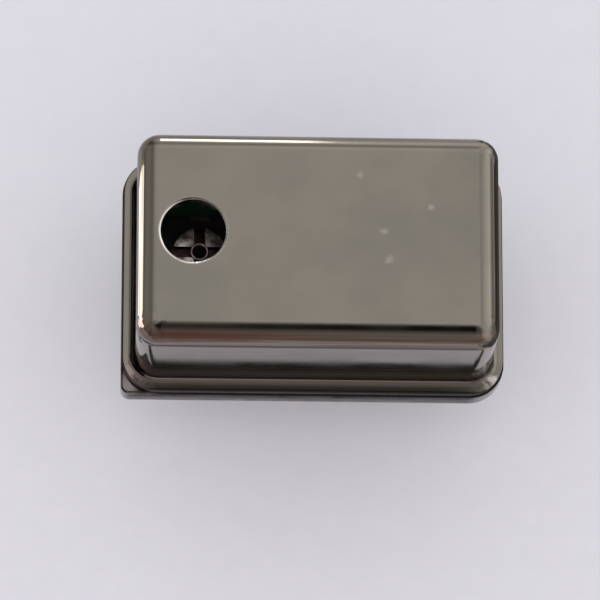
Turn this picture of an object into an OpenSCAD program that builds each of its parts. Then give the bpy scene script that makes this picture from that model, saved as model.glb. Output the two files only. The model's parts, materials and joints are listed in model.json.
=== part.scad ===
// Trimmable crystal oscillator in a full-size four-lead metal can.
// Lead pattern centred on the origin, seating plane at z = 0, lead 1 at the square corner.

/* [Base] */
// Lead centre from the end of the base plate
lead_in_x = 2.78; // [2.6:0.01:3.2]
// Lead centre from the side of the base plate
lead_in_y = 2.79; // [2.7:0.01:3.1]
// Thickness of the base plate at its edge
base_t = 1.2; // [0.8:0.1:1.4]
// Corner radius of the three rounded corners
base_corner_r = 1.9; // [1.6:0.1:2.1]
// Corner radius of the square corner that marks lead 1
mark_corner_r = 0.5; // [0.4:0.1:0.8]
// Radius rolled over along the top edge of the plate
base_edge_r = 0.15; // [0.05:0.01:0.2]
// How far the base plate shows beyond the can flange
base_margin = 0.06; // [0.04:0.02:0.3]
// Height of the step that locates the can
step_h = 0.35; // [0.2:0.05:0.5]
// Clearance between the step and the can wall
step_clear = 0.15; // [0.1:0.05:0.3]
// Height of the pressed feet under the base
foot_h = 0.5; // [0.3:0.1:0.8]
// Diameter of a pressed foot
foot_d = 1.2; // [1:0.1:1.6]
// Foot centre from the end of the plate
foot_in_x = 6.0; // [5:0.1:7]
// Foot centre from the side of the plate
foot_in_y = 2.3; // [2.2:0.1:3]

/* [Can] */
// Height of the can top above the underside of the base
can_h = 9.1; // [8:0.1:10]
// Sheet thickness of the can
can_t = 0.4; // [0.25:0.05:0.5]
// Outside radius of the drawn shoulder
shoulder_r = 1.1; // [0.8:0.05:1.2]
// Corner radius of the flat top, inside the shoulder
top_corner_r = 0.1; // [0.1:0.05:0.4]
// Radius of the hollow bend between wall and flange
bend_r = 0.4; // [0.3:0.05:0.45]
// How far the can flange stands out from the wall
flange_w = 0.68; // [0.64:0.02:0.8]
// Radius rolled over along the edge of the flange
flange_edge_r = 0.08; // [0.05:0.01:0.1]
// Height of the weld projection under the flange
weld_h = 0.1; // [0.05:0.01:0.15]

/* [Trimming hole] */
// Diameter of the trimming hole
hole_d = 3.4; // [2.5:0.1:4]
// Hole centre from the end wall of the can
hole_from_end = 3.0; // [2.8:0.01:3.2]
// Hole centre across the width
hole_y = 0.25; // [-0.5:0.05:0.5]
// Radius rolled over at the rim by the punch
hole_roll = 0.15; // [0.05:0.01:0.2]

/* [Leads] */
// Distance between the lead rows along the length
lead_pitch_x = 15.24; // [15:0.01:15.5]
// Distance between the leads across the width
lead_pitch_y = 7.62; // [7.5:0.01:7.8]
// Lead diameter over the tinning
lead_d = 0.46; // [0.4:0.01:0.5]
// Thickness of the tinning on the outer length
tin_t = 0.01; // [0.005:0.005:0.02]
// Length of a lead below the seating plane
lead_drop = 5.0; // [3:0.1:6.4]
// Diameter of a glass seal
seal_d = 1.6; // [1.4:0.1:1.8]
// Depth of the hollow face of a glass seal
seal_dish = 0.12; // [0.05:0.01:0.2]

/* [Circuit board] */
// Gap between the base step and the board
board_gap = 1.15; // [1:0.05:1.4]
// Board thickness
board_t = 0.8; // [0.6:0.1:1]
// Clearance between the board edge and the can wall
board_clear = 0.3; // [0.2:0.05:0.4]
// Clearance round a wire in its board hole
wire_clear = 0.13; // [0.08:0.01:0.2]
// Width of the solder ring round a board hole
solder_ring = 0.25; // [0.2:0.01:0.35]
// How far a lead stands up through the board
lead_stub = 0.45; // [0.3:0.05:0.6]

/* [Trimmer capacitor] */
// Trimmer axis from the hole axis, along the length
trim_dx = 0.4; // [-0.2:0.1:0.5]
// Trimmer axis from the hole axis, across the width
trim_dy = -0.1; // [-0.4:0.05:0.4]
// Length of the stator block
stator_l = 4.0; // [3.8:0.1:4.2]
// Width of the stator block
stator_w = 4.4; // [4:0.1:4.6]
// Thickness of the stator block
stator_t = 1.1; // [0.9:0.05:1.3]
// Chamfer at the corners of the stator block
stator_chamfer = 0.5; // [0.3:0.1:0.7]
// Diameter of the rotor disc
rotor_d = 3.1; // [2.8:0.1:3.4]
// Thickness of the ceramic rotor disc
rotor_t = 0.4; // [0.3:0.05:0.5]
// Thickness of the metal driver plate on the rotor
driver_t = 0.4; // [0.35:0.05:0.5]
// How far the rotor disc shows round the driver plate
driver_in = 0.1; // [0.05:0.05:0.3]
// Width of the cross slot for the trimming tool
slot_w = 0.6; // [0.3:0.05:0.7]
// Depth of the cross slot
slot_deep = 0.3; // [0.15:0.01:0.32]
// Outside diameter of the eyelet tube on the axis
eyelet_d = 0.9; // [0.7:0.02:1]
// Wall of the eyelet tube
eyelet_t = 0.1; // [0.08:0.01:0.14]
// Radial clearance of the eyelet in the stator
turn_clear = 0.04; // [0.02:0.01:0.06]
// Gap between the rotor disc and the stator
face_gap = 0.05; // [0.03:0.01:0.08]
// Width of a strap terminal
terminal_w = 1.0; // [0.6:0.1:1.4]
// Thickness of a strap terminal
terminal_t = 0.15; // [0.1:0.01:0.2]
// How far a strap terminal reaches out on the board
terminal_reach = 0.45; // [0.3:0.05:0.5]

/* [Crystal unit] */
// Diameter of the crystal's can
crystal_d = 3.0; // [2.8:0.1:3.2]
// Length of the crystal's can
crystal_l = 8.0; // [7.6:0.1:8.4]
// Crystal end from the edge of the board
crystal_from_edge = 1.3; // [1.2:0.1:1.6]
// Crystal axis across the width
crystal_y = 0.8; // [0.5:0.1:1]
// Sheet thickness of the crystal's can
crystal_t = 0.2; // [0.15:0.01:0.25]
// Distance between the crystal's two leads
crystal_pitch = 1.1; // [1:0.05:1.2]
// Diameter of a crystal lead
crystal_lead_d = 0.3; // [0.25:0.01:0.35]
// Bend radius of a crystal lead, at its centre
crystal_bend_r = 0.5; // [0.4:0.05:0.6]
// Straight length of a lead before its bend
crystal_lead_out = 0.5; // [0.4:0.05:0.8]
// Gap between the quartz blank and the closed end of the crystal's can
blank_gap = 0.4; // [0.3:0.05:0.6]
// Width of the quartz blank
blank_w = 1.6; // [1.5:0.1:1.7]
// Thickness of the quartz blank
blank_t = 0.2; // [0.15:0.01:0.25]

/* [Parts on the board] */
// Free space left between neighbours in a row
part_gap = 0.75; // [0.6:0.05:0.9]
// Length of a chip part
chip_l = 1.6; // [1.5:0.1:1.7]
// Width of a chip part
chip_w = 0.8; // [0.7:0.05:0.9]
// Height of a chip capacitor
capacitor_h = 0.8; // [0.6:0.05:0.9]
// Height of a chip resistor
resistor_h = 0.45; // [0.35:0.05:0.55]
// Length of the oscillator chip
ic_l = 2.9; // [2.7:0.1:3.1]
// Width of the oscillator chip
ic_w = 1.6; // [1.4:0.1:1.8]
// Height of the oscillator chip's body
ic_h = 1.0; // [0.8:0.05:1.2]
// Distance between leads of the oscillator chip
ic_pitch = 0.95; // [0.9:0.01:1]

/* [Hidden] */
$fn = 48;
// Overlap that joins two shapes, and how far a cutter runs past a face
eps = 0.01;
cut = 1;

// Base plate, which reaches past the lead pattern
base_l = lead_pitch_x + 2 * lead_in_x;
base_w = lead_pitch_y + 2 * lead_in_y;

// Levels from the seating plane up
base_z = foot_h;
base_top_z = base_z + base_t;
step_z = base_top_z + step_h;
flange_z = base_top_z + weld_h;
flange_top_z = flange_z + can_t;
can_top_z = base_z + can_h;
board_z = step_z + board_gap;
board_top_z = board_z + board_t;
rotor_z = board_top_z + stator_t + face_gap;
driver_z = rotor_z + rotor_t;

// Can body, which stands inside the base plate by the flange and the margin
can_corner_r = shoulder_r + top_corner_r;
can_l = base_l - 2 * (base_margin + flange_w);
can_w = base_w - 2 * (base_margin + flange_w);
can_x = can_l / 2 - can_corner_r;
can_y = can_w / 2 - can_corner_r;
hole_x = hole_from_end - can_l / 2;

// Lead places, by lead number
lead_1 = [-lead_pitch_x / 2, -lead_pitch_y / 2];
lead_7 = [lead_pitch_x / 2, -lead_pitch_y / 2];
lead_8 = [lead_pitch_x / 2, lead_pitch_y / 2];
lead_14 = [-lead_pitch_x / 2, lead_pitch_y / 2];
core_d = lead_d - 2 * tin_t;
lead_top_z = board_top_z + lead_stub;
tin_end_z = base_z / 2;
tip = 0.09;
braze_w = base_z / 2 - 0.05;

// Glass seals, whose hollow faces are arcs that leave a land at both rims
header_t = base_t + step_h;
seal_w = (seal_d - core_d) / 2;
seal_land = 0.03;
dish_chord = seal_w - 2 * seal_land;
dish_r = (dish_chord * dish_chord / 4 + seal_dish * seal_dish) / (2 * seal_dish);

// Locating step, feet and weld projection
step_l = can_l - 2 * can_t - 2 * step_clear;
step_w = can_w - 2 * can_t - 2 * step_clear;
step_r = max(can_corner_r - can_t - step_clear, 0.2);
foot_round = 0.2;
dent_h = foot_h * 0.9;
dent_d = foot_d * 0.7;
weld_tip = 0.05;
weld_root = 0.08;

// Board outline, and the pressed feet below
board_l = can_l - 2 * can_t - 2 * board_clear;
board_w = can_w - 2 * can_t - 2 * board_clear;
board_corner_r = max(can_corner_r - can_t, 0.3);
foot_x = base_l / 2 - foot_in_x;
foot_y = base_w / 2 - foot_in_y;
joint_w = wire_clear + solder_ring;
joint_w_small = wire_clear + solder_ring / 2;
fillet_lip = 0.05;

// Trimmer parts
trim_x = hole_x + trim_dx;
trim_y = hole_y + trim_dy;
driver_d = rotor_d - 2 * driver_in;
driver_chamfer = 0.06;
rotor_chamfer = 0.05;
lip_w = 0.06;
clinch_w = eyelet_d / 2 - 0.05;
clinch_t = 0.15;
recess_d = eyelet_d + 2 * clinch_w + 0.4;
recess_h = stator_t * 0.4;

// Crystal unit, lying on the board with its leads towards the trimmer
crystal_r = crystal_d / 2;
crystal_x = board_l / 2 - crystal_from_edge - crystal_l;
glue_t = 0.1;
glue_h = 0.3;
crystal_z = board_top_z + glue_t + crystal_r;
crystal_round = 0.5;
ring_l = 0.8;
ring_t = 0.3;
glass_r = crystal_r - crystal_t - ring_t;
crystal_drop_x = crystal_x - crystal_lead_out - crystal_bend_r;
crystal_stub = 0.4;
bond_r = 0.32;
bond_t = 0.05;
blank_in = 1.2;
blank_x = crystal_x + ring_l + blank_in;
blank_l = crystal_l - crystal_t - blank_gap - ring_l - blank_in;
blank_z = crystal_z + crystal_lead_d / 2 + bond_t;
post_l = blank_in + 2 * bond_r;
glue_w = 1.4;
glue_l = 2.4;
front_y = crystal_y - crystal_pitch / 2;
back_y = crystal_y + crystal_pitch / 2;

// Rows of small parts in front of the crystal and behind it
chip_cap_l = 0.3;
chip_cap_t = 0.05;
ic_stand = 0.1;
ic_draft = 0.08;
ic_foot = 0.35;
ic_knee = 0.2;
ic_lead_w = 0.4;
ic_lead_t = 0.15;
dimple_in = 0.4;
dimple_d = 0.3;
dimple_h = 0.05;
front_row_y = (crystal_y - crystal_r - board_w / 2) / 2;
back_row_y = (crystal_y + crystal_r + board_w / 2) / 2;
drive_x = trim_x + stator_l / 2 + part_gap + chip_w / 2;
ic_x = drive_x + chip_w / 2 + part_gap + ic_l / 2;
bypass_x = ic_x + ic_l / 2 + part_gap + chip_w / 2;
output_x = bypass_x + chip_w + part_gap;
load_in_x = lead_14[0] + core_d / 2 + wire_clear + solder_ring + part_gap + chip_l / 2;
load_out_x = load_in_x + chip_l + part_gap;
feedback_x = load_out_x + chip_l + part_gap;

// ---------------------------------------------------------------- shared shapes

// Sweeps a section round a rectangle with rounded corners. The section lies in the plane
// of x (distance out from the corner centres) and y (height); the corner centres are at
// (+-cx, +-cy).
module sweep_round(cx, cy) {
    for (i = [0:3]) {
        sx = (i == 0 || i == 3) ? 1 : -1;
        sy = (i < 2) ? 1 : -1;
        translate([sx * cx, sy * cy, 0])
            rotate([0, 0, 90 * i])
                rotate_extrude(angle = 90) children();
    }
    for (side = [0, 180]) {
        rotate([0, 0, side])
            translate([cx, cy, 0])
                rotate([90, 0, 0])
                    linear_extrude(height = 2 * cy) children();
        rotate([0, 0, side])
            translate([-cx, cy, 0])
                rotate([90, 0, 90])
                    linear_extrude(height = 2 * cx) children();
    }
}

// Flat outline of a rectangle with one radius at each corner, in the order
// front left, front right, back right, back left.
module plate_outline(l, w, radii) {
    difference() {
        square([l, w], center = true);
        for (i = [0:3]) {
            sx = (i == 0 || i == 3) ? -1 : 1;
            sy = (i < 2) ? -1 : 1;
            r = radii[i];
            difference() {
                translate([sx * (l / 2 - r / 2 + eps), sy * (w / 2 - r / 2 + eps)])
                    square([r + 2 * eps, r + 2 * eps], center = true);
                translate([sx * (l / 2 - r), sy * (w / 2 - r)]) circle(r);
            }
        }
    }
}

// Plate with one radius at each corner, its top edge rolled over by e.
module edged_plate(l, w, radii, h, e) {
    inner = [for (r = radii) r - e];
    linear_extrude(height = h - e) plate_outline(l, w, radii);
    linear_extrude(height = h) plate_outline(l - 2 * e, w - 2 * e, inner);
    for (i = [0:3]) {
        sx = (i == 0 || i == 3) ? -1 : 1;
        sy = (i < 2) ? -1 : 1;
        translate([sx * (l / 2 - radii[i]), sy * (w / 2 - radii[i]), h - e])
            rotate([0, 0, 180 + 90 * i])
                rotate_extrude(angle = 90)
                    translate([radii[i] - e, 0]) quarter_ring(e, 0, 0);
    }
    for (k = [0:3]) {
        half = (k % 2 == 0) ? l / 2 : w / 2;
        run = (k % 2 == 0) ? w : l;
        next = radii[(k + 2) % 4];
        last = radii[(k + 1) % 4];
        rotate([0, 0, 90 * k])
            translate([half - e, run / 2 - next, h - e])
                rotate([90, 0, 0])
                    linear_extrude(height = run - next - last) quarter_ring(e, 0, 0);
    }
}

// Quarter of a ring; turn picks the quarter, 0 being the one out and up.
module quarter_ring(r_out, r_in, turn) {
    rotate(turn) intersection() {
        difference() {
            circle(r_out);
            circle(r_in);
        }
        square(r_out + 1);
    }
}

// Solid of revolution standing on a place in the plan.
module turned(at, z) {
    translate([at[0], at[1], z]) rotate_extrude() children();
}

// ---------------------------------------------------------------- can and base

// Section of the drawn sheet: top, shoulder, wall, bend, flange and weld projection.
module can_section() {
    wall_low = flange_top_z + bend_r;
    flange_end = can_corner_r + flange_w;
    translate([0, can_top_z - can_t])
        square([top_corner_r, can_t]);
    translate([top_corner_r, can_top_z - shoulder_r])
        quarter_ring(shoulder_r, shoulder_r - can_t, 0);
    translate([can_corner_r - can_t, wall_low])
        square([can_t, can_top_z - shoulder_r - wall_low]);
    translate([can_corner_r + bend_r, wall_low])
        quarter_ring(bend_r + can_t, bend_r, 180);
    translate([can_corner_r + bend_r, flange_z])
        square([flange_w - bend_r - flange_edge_r, can_t]);
    translate([flange_end - flange_edge_r, flange_z])
        square([flange_edge_r, can_t - flange_edge_r]);
    translate([flange_end - flange_edge_r, flange_top_z - flange_edge_r])
        quarter_ring(flange_edge_r, 0, 0);
    translate([can_corner_r + (bend_r + flange_w) / 2, 0])
        polygon([[-weld_tip, base_top_z], [weld_tip, base_top_z],
                 [weld_root, flange_z + eps], [-weld_root, flange_z + eps]]);
}

// The punched hole, opened at the top by the rolled rim.
module trimming_hole() {
    translate([hole_x, hole_y, can_top_z - can_t - cut])
        cylinder(h = can_t + 2 * cut, d = hole_d);
    turned([hole_x, hole_y], can_top_z)
        difference() {
            translate([0, -hole_roll]) square([hole_d / 2 + hole_roll, hole_roll + cut]);
            translate([hole_d / 2 + hole_roll, -hole_roll]) circle(hole_roll);
        }
}

// Drawn can: one sheet swept round the outline, closed on top and punched for the trimming tool.
module cover() {
    color("#8a857b") difference() {
        union() {
            sweep_round(can_x, can_y) can_section();
            translate([-can_x, -can_y, can_top_z - can_t])
                cube([2 * can_x, 2 * can_y, can_t]);
        }
        trimming_hole();
    }
}

// One foot pressed out of the plate, round at its lower edge and flat where it stands.
module foot(at) {
    turned(at, 0) {
        square([foot_d / 2 - foot_round, base_z + eps]);
        translate([foot_d / 2 - foot_round, foot_round])
            quarter_ring(foot_round, 0, 270);
        translate([foot_d / 2 - foot_round, foot_round])
            square([foot_round, base_z + eps - foot_round]);
    }
}

// Stamped base plate with the locating step, the pressed feet and the holes for the leads.
module base_header() {
    corners = [mark_corner_r, base_corner_r, base_corner_r, base_corner_r];
    color("#8d8a8c") difference() {
        union() {
            translate([0, 0, base_z])
                edged_plate(base_l, base_w, corners, base_t, base_edge_r);
            translate([0, 0, base_top_z - eps])
                linear_extrude(height = step_h + eps)
                    plate_outline(step_l, step_w, [step_r, step_r, step_r, step_r]);
            for (sx = [-1, 1], sy = [-1, 1])
                foot([sx * foot_x, sy * foot_y]);
        }
        for (sx = [-1, 1], sy = [-1, 1])
            translate([sx * foot_x, sy * foot_y, step_z - dent_h])
                cylinder(h = dent_h + cut, d = dent_d);
        for (at = [lead_1, lead_8, lead_14])
            translate([at[0], at[1], base_z - cut])
                cylinder(h = header_t + 2 * cut, d = seal_d);
        translate([lead_7[0], lead_7[1], base_z - cut])
            cylinder(h = header_t + 2 * cut, d = core_d);
    }
}

// Glass bead fused between the base and a lead, hollow at both faces.
module glass_seal(at) {
    color("#2f4a3c") turned(at, base_z) difference() {
        translate([core_d / 2, 0]) square([seal_w, header_t]);
        for (y = [seal_dish - dish_r, header_t - seal_dish + dish_r])
            translate([core_d / 2 + seal_w / 2, y]) circle(dish_r);
    }
}

// Ring of braze that joins the earth lead to the base.
module ground_braze() {
    color("silver") turned(lead_7, base_z) mirror([0, 1]) fillet(core_d / 2, braze_w);
}

// Round wire lead, tinned below the base and bare in its seal, with chamfered ends.
module lead_pin(at) {
    r = lead_d / 2;
    core = core_d / 2;
    color("gold") turned(at, 0) polygon([
        [0, -lead_drop], [r - tip, -lead_drop], [r, tip - lead_drop],
        [r, tin_end_z], [core, tin_end_z],
        [core, lead_top_z - tip], [core - tip, lead_top_z], [0, lead_top_z],
    ]);
}

// ---------------------------------------------------------------- circuit board

module circuit_board() {
    r = board_corner_r;
    color("#2e5b3a") translate([0, 0, board_z]) linear_extrude(height = board_t)
        difference() {
            plate_outline(board_l, board_w, [r, r, r, r]);
            for (at = [lead_1, lead_7, lead_8, lead_14])
                translate(at) circle(d = core_d + 2 * wire_clear);
            for (y = [front_y, back_y])
                translate([crystal_drop_x, y]) circle(d = crystal_lead_d + 2 * wire_clear);
        }
}

// Section of a hollow fillet of solder that climbs a wire from a flat face.
module fillet(wire_r, size) {
    difference() {
        translate([wire_r, 0]) square(size);
        translate([wire_r + size + fillet_lip, size + fillet_lip]) circle(size);
    }
}

// Solder that fills a plated hole and climbs the wire on both sides of the board.
module solder_joint(at, wire_d, above, below) {
    wire_r = wire_d / 2;
    color("silver") turned(at, board_z) {
        translate([wire_r, 0]) square([wire_clear, board_t]);
        translate([0, board_t]) fillet(wire_r, above);
        mirror([0, 1]) fillet(wire_r, below);
    }
}

module pin_solder(at) {
    solder_joint(at, core_d, joint_w, joint_w_small);
}

// ---------------------------------------------------------------- trimmer capacitor

module trimmer_stator() {
    x = stator_l / 2;
    y = stator_w / 2;
    c = stator_chamfer;
    color("#3a2f2a") translate([trim_x, trim_y, board_top_z]) difference() {
        linear_extrude(height = stator_t)
            polygon([
                [c - x, -y], [x - c, -y], [x, c - y], [x, y - c],
                [x - c, y], [c - x, y], [-x, y - c], [-x, c - y],
            ]);
        translate([0, 0, -cut])
            cylinder(h = stator_t + 2 * cut, d = eyelet_d + 2 * turn_clear);
        translate([0, 0, -cut]) cylinder(h = recess_h + cut, d = recess_d);
        for (s = [-1, 1])
            translate([0, s * y, 0])
                cube([terminal_w, 2 * terminal_t, 4 * stator_t], center = true);
    }
}

module trimmer_rotor() {
    r = rotor_d / 2;
    c = rotor_chamfer;
    color("#6b4a33") turned([trim_x, trim_y], rotor_z) polygon([
        [eyelet_d / 2, 0], [r, 0], [r, rotor_t - c], [r - c, rotor_t], [eyelet_d / 2, rotor_t],
    ]);
}

// Metal plate on the rotor, with the cross slot that the trimming tool turns.
module trimmer_driver() {
    r = driver_d / 2;
    c = driver_chamfer;
    color("#b9b2a2") difference() {
        turned([trim_x, trim_y], driver_z) polygon([
            [eyelet_d / 2, 0], [r, 0], [r, driver_t - c], [r - c, driver_t],
            [eyelet_d / 2, driver_t],
        ]);
        for (turn = [0, 90])
            translate([trim_x, trim_y, driver_z + driver_t])
                rotate([0, 0, turn])
                    cube([driver_d + 2 * cut, slot_w, 2 * slot_deep], center = true);
    }
}

// Hollow eyelet on the axis: it clinches driver, rotor and stator together and turns.
module trimmer_eyelet() {
    r = eyelet_d / 2;
    bore = r - eyelet_t;
    bead_r = (eyelet_t + lip_w) / 2;
    under_z = board_top_z + recess_h - face_gap;
    top_z = driver_z + driver_t;
    color("#a59c86") turned([trim_x, trim_y], 0) {
        translate([bore, under_z - clinch_t]) square([eyelet_t + clinch_w, clinch_t]);
        translate([bore, under_z]) square([eyelet_t, top_z - under_z]);
        translate([bore + bead_r, top_z]) intersection() {
            circle(bead_r);
            translate([-bead_r, 0]) square([2 * bead_r, bead_r]);
        }
    }
}

// Strap terminal let into the front or back of the stator and bent out on to the board.
module trimmer_terminal(side) {
    t = terminal_t;
    color("silver") translate([trim_x, trim_y + side * stator_w / 2, board_top_z])
        rotate([90, 0, 90 * side])
            translate([0, 0, -terminal_w / 2])
                linear_extrude(height = terminal_w)
                    polygon([
                        [-t, 0], [terminal_reach, 0], [terminal_reach, t], [0, t],
                        [0, stator_t], [-t, stator_t],
                    ]);
}

// ---------------------------------------------------------------- crystal unit

// Lays a turned piece along the length, with the open end of the crystal's can at zero.
module along_crystal(x) {
    translate([crystal_x + x, crystal_y, crystal_z]) rotate([0, 90, 0]) children();
}

// Drawn tube with a round closed end.
module crystal_can() {
    r = crystal_r;
    t = crystal_t;
    c = crystal_round;
    color("#a7a9ad") along_crystal(0) rotate_extrude() {
        translate([r - t, 0]) square([t, crystal_l - c]);
        translate([r - c, crystal_l - c]) quarter_ring(c, c - t, 0);
        translate([0, crystal_l - t]) square([r - c, t]);
    }
}

// Metal ring pressed into the open end, round the glass.
module crystal_ring() {
    color("#9a9aa0") along_crystal(0) difference() {
        cylinder(h = ring_l, r = crystal_r - crystal_t);
        translate([0, 0, -cut]) cylinder(h = ring_l + 2 * cut, r = glass_r);
    }
}

module crystal_glass() {
    color("#35506b") along_crystal(0) difference() {
        cylinder(h = ring_l, r = glass_r);
        for (s = [-1, 1])
            translate([0, s * crystal_pitch / 2, -cut])
                cylinder(h = ring_l + 2 * cut, d = crystal_lead_d);
    }
}

// Wire from inside the crystal's can through the glass, bent down through the board.
module crystal_lead(y) {
    low = board_z - crystal_stub;
    bend_x = crystal_x - crystal_lead_out;
    color("silver") {
        translate([bend_x, y, crystal_z]) rotate([0, 90, 0])
            cylinder(h = crystal_lead_out + ring_l + post_l, d = crystal_lead_d);
        translate([bend_x, y, crystal_z - crystal_bend_r])
            rotate([90, 0, 0]) rotate([0, 0, 90])
                rotate_extrude(angle = 90)
                    translate([crystal_bend_r, 0]) circle(d = crystal_lead_d);
        translate([crystal_drop_x, y, low])
            cylinder(h = crystal_z - crystal_bend_r - low, d = crystal_lead_d);
    }
}

module crystal_solder(y) {
    solder_joint([crystal_drop_x, y], crystal_lead_d, joint_w_small, joint_w_small);
}

// Bed of adhesive that holds the crystal's can off the board.
module crystal_glue() {
    color("#d8d2b0") translate([crystal_x + crystal_l / 2, crystal_y, board_top_z])
        rotate([90, 0, 90]) translate([0, 0, -glue_l / 2])
            linear_extrude(height = glue_l)
                difference() {
                    translate([-glue_w / 2, 0]) square([glue_w, glue_h]);
                    translate([0, glue_t + crystal_r]) circle(crystal_r);
                }
}

module quartz_blank() {
    color("#dfe8ea")
        translate([blank_x, crystal_y - blank_w / 2, blank_z])
            cube([blank_l, blank_w, blank_t]);
}

// Dab of conductive adhesive between a wire's inner end and the blank.
module blank_bond(y) {
    color("#8c8c90") difference() {
        translate([blank_x + bond_r, y, crystal_z])
            cylinder(h = blank_z - crystal_z, r = bond_r);
        translate([blank_x - cut, y, crystal_z]) rotate([0, 90, 0])
            cylinder(h = 2 * bond_r + 2 * cut, d = crystal_lead_d);
    }
}

// ---------------------------------------------------------------- chips on the board

// Every chip part: place, turn and height.
function chip_spot(name) =
    name == "bypass_capacitor" ? [bypass_x, front_row_y, 90, capacitor_h] :
    name == "output_resistor" ? [output_x, front_row_y, 90, resistor_h] :
    name == "drive_resistor" ? [drive_x, front_row_y, 90, resistor_h] :
    name == "load_capacitor_in" ? [load_in_x, back_row_y, 0, capacitor_h] :
    name == "load_capacitor_out" ? [load_out_x, back_row_y, 0, capacitor_h] :
    [feedback_x, back_row_y, 0, resistor_h];

CHIPS = [
    "bypass_capacitor", "output_resistor", "drive_resistor",
    "load_capacitor_in", "load_capacitor_out", "feedback_resistor",
];

module at_chip(spot) {
    translate([spot[0], spot[1], board_top_z]) rotate([0, 0, spot[2]]) children();
}

// Ceramic block of a chip part, inside its end cups.
module chip_block(spot) {
    t = chip_cap_t;
    translate([t - chip_l / 2, t - chip_w / 2, t])
        cube([chip_l - 2 * t, chip_w - 2 * t, spot[3] - 2 * t]);
}

module chip_body(name, shade) {
    spot = chip_spot(name);
    color(shade) at_chip(spot) chip_block(spot);
}

// Plated cups over both ends of every chip part.
module chip_end_caps() {
    color("silver") for (name = CHIPS) {
        spot = chip_spot(name);
        at_chip(spot) difference() {
            for (s = [-1, 1])
                translate([s * (chip_l - chip_cap_l) / 2, 0, spot[3] / 2])
                    cube([chip_cap_l, chip_w, spot[3]], center = true);
            chip_block(spot);
        }
    }
}

// Moulded body with drafted sides, a band where the leads leave and a dimple at lead 1.
module oscillator_chip() {
    low = ic_stand;
    mid = ic_stand + ic_h / 2;
    top = ic_stand + ic_h;
    y = ic_w / 2;
    t = ic_lead_t / 2;
    color("#1d1d1f") translate([ic_x, front_row_y, board_top_z]) difference() {
        rotate([90, 0, 90]) translate([0, 0, -ic_l / 2]) linear_extrude(height = ic_l)
            polygon([
                [ic_draft - y, low], [y - ic_draft, low], [y, mid - t], [y, mid + t],
                [y - ic_draft, top], [ic_draft - y, top], [-y, mid + t], [-y, mid - t],
            ]);
        translate([dimple_in - ic_l / 2, dimple_in - y, top - dimple_h])
            cylinder(h = dimple_h + cut, d = dimple_d);
    }
}

// Gull-wing leads of the oscillator chip.
module oscillator_chip_leads() {
    y = ic_w / 2;
    knee = y + ic_knee;
    end = knee + ic_foot;
    mid = ic_stand + ic_h / 2;
    t = ic_lead_t;
    color("silver") for (s = [0, 180], i = [-1:1])
        translate([ic_x, front_row_y, board_top_z]) rotate([0, 0, s])
            translate([i * ic_pitch - ic_lead_w / 2, 0, 0])
                rotate([90, 0, 90]) linear_extrude(height = ic_lead_w)
                    polygon([
                        [y, mid - t / 2], [knee - t, mid - t / 2], [knee - t, 0], [end, 0],
                        [end, t], [knee, t], [knee, mid + t / 2], [y, mid + t / 2],
                    ]);
}

// ---------------------------------------------------------------- nodes

cover();
base_header();
glass_seal(lead_1);  // glass_seal_1
glass_seal(lead_8);  // glass_seal_8
glass_seal(lead_14);  // glass_seal_14
ground_braze();
lead_pin(lead_1);  // lead_pin_1
lead_pin(lead_7);  // lead_pin_7
lead_pin(lead_8);  // lead_pin_8
lead_pin(lead_14);  // lead_pin_14
circuit_board();
pin_solder(lead_1);  // pin_solder_1
pin_solder(lead_7);  // pin_solder_7
pin_solder(lead_8);  // pin_solder_8
pin_solder(lead_14);  // pin_solder_14
trimmer_stator();
trimmer_rotor();
trimmer_driver();
trimmer_eyelet();
trimmer_terminal(-1);  // trimmer_terminal_front
trimmer_terminal(1);  // trimmer_terminal_back
crystal_can();
crystal_ring();
crystal_glass();
crystal_lead(front_y);  // crystal_lead_front
crystal_lead(back_y);  // crystal_lead_back
crystal_solder(front_y);  // crystal_solder_front
crystal_solder(back_y);  // crystal_solder_back
crystal_glue();
quartz_blank();
blank_bond(front_y);  // blank_bond_front
blank_bond(back_y);  // blank_bond_back
oscillator_chip();
oscillator_chip_leads();
chip_body("bypass_capacitor", "#b08d5b");  // bypass_capacitor
chip_body("load_capacitor_in", "#b08d5b");  // load_capacitor_in
chip_body("load_capacitor_out", "#b08d5b");  // load_capacitor_out
chip_body("feedback_resistor", "#23252a");  // feedback_resistor
chip_body("drive_resistor", "#23252a");  // drive_resistor
chip_body("output_resistor", "#23252a");  // output_resistor
chip_end_caps();
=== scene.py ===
"""Trimmable crystal oscillator in a four-lead metal can, dressed and lit for a studio picture."""

import json
import logging
import math
from dataclasses import KW_ONLY, dataclass, field
from enum import Enum
from functools import cached_property
from typing import Any

import bmesh
import bpy
from mathutils import Matrix, Vector

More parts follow.
